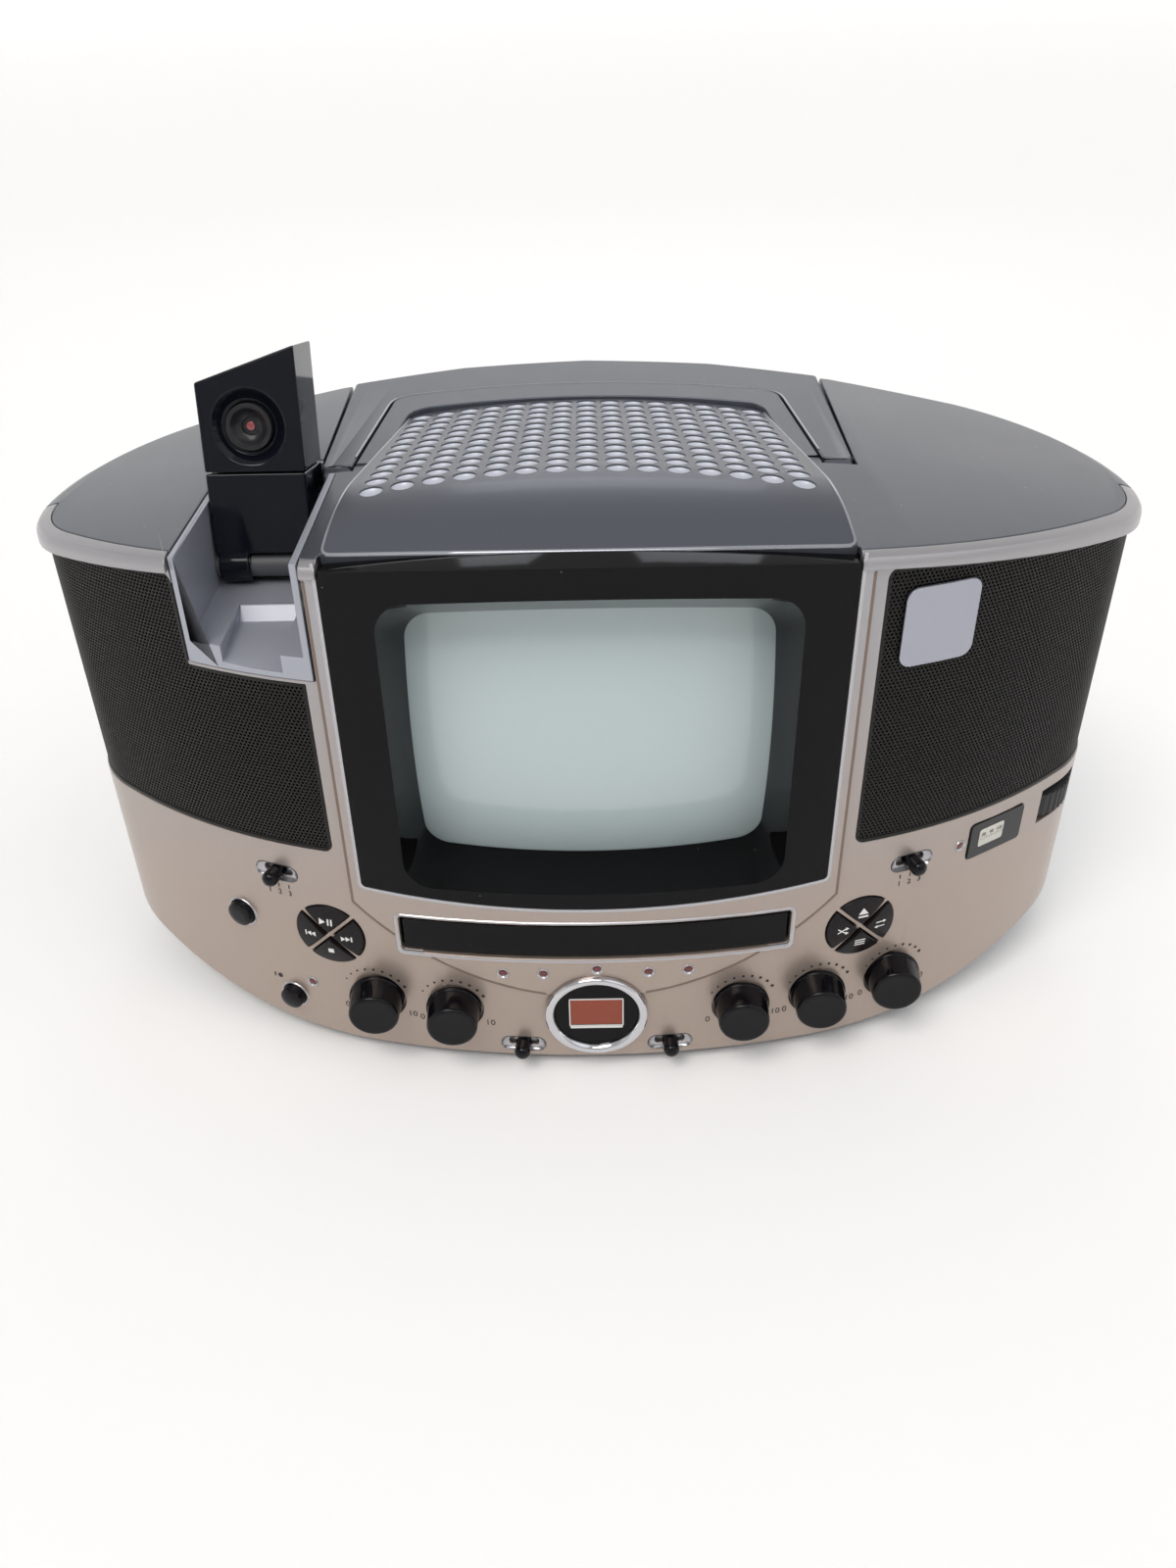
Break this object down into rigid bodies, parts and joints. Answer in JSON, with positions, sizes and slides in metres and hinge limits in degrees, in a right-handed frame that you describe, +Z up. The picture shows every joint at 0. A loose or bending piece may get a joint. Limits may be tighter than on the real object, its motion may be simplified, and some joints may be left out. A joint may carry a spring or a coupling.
{
  "type": "karaoke machine with disc tray",
  "caption": "Portable karaoke machine: oval cabinet with a picture tube, speaker grilles, a front disc tray, knobs, a fold-out camera and a lift-up handle.",
  "frame": {"origin": "on the surface that the feet stand on, under the middle of the whole box with the camera up", "axes": "+Z up, the front with the screen and tray faces -Y, +X to the right as seen from the front"},
  "size_m": [0.416, 0.2466, 0.2697],
  "materials": {
    "silver_paint": "satin metallic paint over moulded plastic",
    "gunmetal_paint": "fine metallic paint over moulded plastic",
    "well_silver": "satin metallic paint",
    "gloss_black": "moulded gloss black",
    "matt_black": "fine textured black",
    "rubber": "matt",
    "tube_glass": "polished, grey-green phosphor behind",
    "clear_plastic": "clear polycarbonate",
    "mesh": "black painted steel mesh",
    "chrome": "bright plated",
    "badge_silver": "brushed, bare",
    "sheet_steel": "zinc plated",
    "copper": "enamelled copper winding",
    "board": "green circuit board",
    "lamp_red": "dark red lens",
    "white_plastic": "natural acetal",
    "pointer_red": "moulded red"
  },
  "bodies": {
    "cabinet": {"front_cabinet": "silver_paint", "rear_cabinet": "matt_black", "base_plate": "matt_black", "rubber_feet": "rubber", "top_cover": "gunmetal_paint", "vent_panel": "gunmetal_paint", "vent_baffle": "sheet_steel", "camera_well": "well_silver", "tv_bezel": "gloss_black", "picture_tube": "tube_glass", "deflection_yoke": "copper", "grille_left": "mesh", "grille_right": "mesh", "speakers": "matt_black", "badge_plate": "badge_silver", "lcd_ring": "chrome", "lcd_module": "gloss_black", "lamp_lenses": "lamp_red", "dial_window": "clear_plastic", "loader_chassis": "sheet_steel", "main_board": "board", "control_board": "board", "potentiometers": "sheet_steel", "transformer": "sheet_steel", "mains_inlet": "matt_black", "av_jacks": "chrome", "mic_jacks": "chrome", "hinge_pins": "sheet_steel", "cover_screws": "sheet_steel"},
    "tray": {"disc_tray": "matt_black", "tray_door": "gloss_black"},
    "pinion": {"tray_pinion": "white_plastic"},
    "spindle": {"turntable": "matt_black"},
    "pickup": {"optical_pickup": "sheet_steel"},
    "handle": {"carry_handle": "gunmetal_paint"},
    "camera_neck": {"camera_neck": "gloss_black"},
    "camera_head": {"camera_head": "gloss_black"},
    "lens": {"camera_lens": "matt_black"},
    "master_volume_knob": {"master_volume_knob": "gloss_black"},
    "balance_knob": {"balance_knob": "gloss_black"},
    "voice_control_knob": {"voice_control_knob": "gloss_black"},
    "echo_knob": {"echo_knob": "gloss_black"},
    "mic_volume_knob": {"mic_volume_knob": "gloss_black"},
    "contrast_knob": {"contrast_knob": "gloss_black"},
    "power_button": {"power_button": "gloss_black"},
    "play_key": {"play_key": "matt_black"},
    "back_key": {"back_key": "matt_black"},
    "forward_key": {"forward_key": "matt_black"},
    "stop_key": {"stop_key": "matt_black"},
    "open_key": {"open_key": "matt_black"},
    "repeat_key": {"repeat_key": "matt_black"},
    "random_key": {"random_key": "matt_black"},
    "program_key": {"program_key": "matt_black"},
    "monitor_switch": {"monitor_switch": "gloss_black"},
    "band_switch": {"band_switch": "gloss_black"},
    "function_switch": {"function_switch": "gloss_black"},
    "video_switch": {"video_switch": "gloss_black"},
    "tuning_wheel": {"tuning_wheel": "gloss_black"},
    "dial_pointer": {"dial_pointer": "pointer_red"}
  },
  "joints": [
    {"name": "tray_slide", "type": "slide", "parent": "cabinet", "child": "tray", "axis": [0, -1, 0], "range_m": [0, 0.128]},
    {"name": "pinion_spin", "type": "hinge", "parent": "cabinet", "child": "pinion", "pos_m": [-0.05, -0.09, 0.06], "axis": [0, 0, 1], "range_deg": [0, 920]},
    {"name": "spindle_spin", "type": "hinge", "parent": "cabinet", "child": "spindle", "pos_m": [0, -0.045, 0.06], "axis": [0, 0, 1], "continuous": true},
    {"name": "pickup_slide", "type": "slide", "parent": "cabinet", "child": "pickup", "axis": [0, 1, 0], "range_m": [0, 0.031]},
    {"name": "handle_lift", "type": "hinge", "parent": "cabinet", "child": "handle", "pos_m": [0, -0.0171, 0.2162], "axis": [1, 0, 0], "range_deg": [0, 95]},
    {"name": "camera_fold", "type": "hinge", "parent": "cabinet", "child": "camera_neck", "pos_m": [-0.1193, -0.0425, 0.193], "axis": [1, 0, 0], "range_deg": [0, 102]},
    {"name": "camera_swivel", "type": "hinge", "parent": "camera_neck", "child": "camera_head", "pos_m": [-0.1193, -0.02599, 0.22425], "axis": [0, 0.2079, 0.9781], "range_deg": [-180, 0]},
    {"name": "lens_focus", "type": "hinge", "parent": "camera_head", "child": "lens", "pos_m": [-0.1199, -0.03719, 0.24299], "axis": [0, -0.9781, 0.2079], "range_deg": [-45, 45]},
    {"name": "master_volume_knob_turn", "type": "hinge", "parent": "cabinet", "child": "master_volume_knob", "pos_m": [-0.0885, -0.10509, 0.0318], "axis": [0, -1, 0], "range_deg": [-140, 140]},
    {"name": "balance_knob_turn", "type": "hinge", "parent": "cabinet", "child": "balance_knob", "pos_m": [-0.057, -0.11092, 0.0307], "axis": [0, -1, 0], "range_deg": [-140, 140]},
    {"name": "voice_control_knob_turn", "type": "hinge", "parent": "cabinet", "child": "voice_control_knob", "pos_m": [0.0582, -0.11074, 0.0304], "axis": [0, -1, 0], "range_deg": [-140, 140]},
    {"name": "echo_knob_turn", "type": "hinge", "parent": "cabinet", "child": "echo_knob", "pos_m": [0.0895, -0.10486, 0.0307], "axis": [0, -1, 0], "range_deg": [-140, 140]},
    {"name": "mic_volume_knob_turn", "type": "hinge", "parent": "cabinet", "child": "mic_volume_knob", "pos_m": [0.1211, -0.0957, 0.0317], "axis": [0, -1, 0], "range_deg": [-140, 140]},
    {"name": "contrast_knob_turn", "type": "hinge", "parent": "cabinet", "child": "contrast_knob", "pos_m": [-0.1417, -0.08689, 0.0621], "axis": [-0.4395, -0.8982, 0], "range_deg": [-140, 140]},
    {"name": "power_button_press", "type": "slide", "parent": "cabinet", "child": "power_button", "axis": [0.3632, 0.9317, 0], "range_m": [0, 0.0025], "stiffness_N_per_m": 300},
    {"name": "play_key_press", "type": "slide", "parent": "cabinet", "child": "play_key", "axis": [0.2691, 0.9631, 0], "range_m": [0, 0.0012], "stiffness_N_per_m": 400},
    {"name": "back_key_press", "type": "slide", "parent": "cabinet", "child": "back_key", "axis": [0.2691, 0.9631, 0], "range_m": [0, 0.0012], "stiffness_N_per_m": 400},
    {"name": "forward_key_press", "type": "slide", "parent": "cabinet", "child": "forward_key", "axis": [0.2691, 0.9631, 0], "range_m": [0, 0.0012], "stiffness_N_per_m": 400},
    {"name": "stop_key_press", "type": "slide", "parent": "cabinet", "child": "stop_key", "axis": [0.2691, 0.9631, 0], "range_m": [0, 0.0012], "stiffness_N_per_m": 400},
    {"name": "open_key_press", "type": "slide", "parent": "cabinet", "child": "open_key", "axis": [-0.2691, 0.9631, 0], "range_m": [0, 0.0012], "stiffness_N_per_m": 400},
    {"name": "repeat_key_press", "type": "slide", "parent": "cabinet", "child": "repeat_key", "axis": [-0.2691, 0.9631, 0], "range_m": [0, 0.0012], "stiffness_N_per_m": 400},
    {"name": "random_key_press", "type": "slide", "parent": "cabinet", "child": "random_key", "axis": [-0.2691, 0.9631, 0], "range_m": [0, 0.0012], "stiffness_N_per_m": 400},
    {"name": "program_key_press", "type": "slide", "parent": "cabinet", "child": "program_key", "axis": [-0.2691, 0.9631, 0], "range_m": [0, 0.0012], "stiffness_N_per_m": 400},
    {"name": "monitor_switch_slide", "type": "slide", "parent": "cabinet", "child": "monitor_switch", "axis": [0.9359, -0.3523, 0], "range_m": [-0.003, 0.003]},
    {"name": "band_switch_slide", "type": "slide", "parent": "cabinet", "child": "band_switch", "axis": [0.9359, 0.3523, 0], "range_m": [-0.003, 0.003]},
    {"name": "function_switch_slide", "type": "slide", "parent": "cabinet", "child": "function_switch", "axis": [0.9972, -0.0745, 0], "range_m": [-0.003, 0.003]},
    {"name": "video_switch_slide", "type": "slide", "parent": "cabinet", "child": "video_switch", "axis": [0.9972, 0.0745, 0], "range_m": [-0.003, 0.003]},
    {"name": "tuning_wheel_turn", "type": "hinge", "parent": "cabinet", "child": "tuning_wheel", "pos_m": [0.1751, -0.0382, 0.089], "axis": [0, 0, 1], "range_deg": [-130, 130]},
    {"name": "dial_pointer_slide", "type": "slide", "parent": "cabinet", "child": "dial_pointer", "axis": [0.8539, 0.5205, 0], "range_m": [-0.0092, 0.0092]}
  ],
  "couplings": [
    {"joint": "pinion_spin", "follows": "tray_slide", "rad_per_m": 125},
    {"joint": "dial_pointer_slide", "follows": "tuning_wheel_turn", "m_per_rad": 0.004}
  ]
}
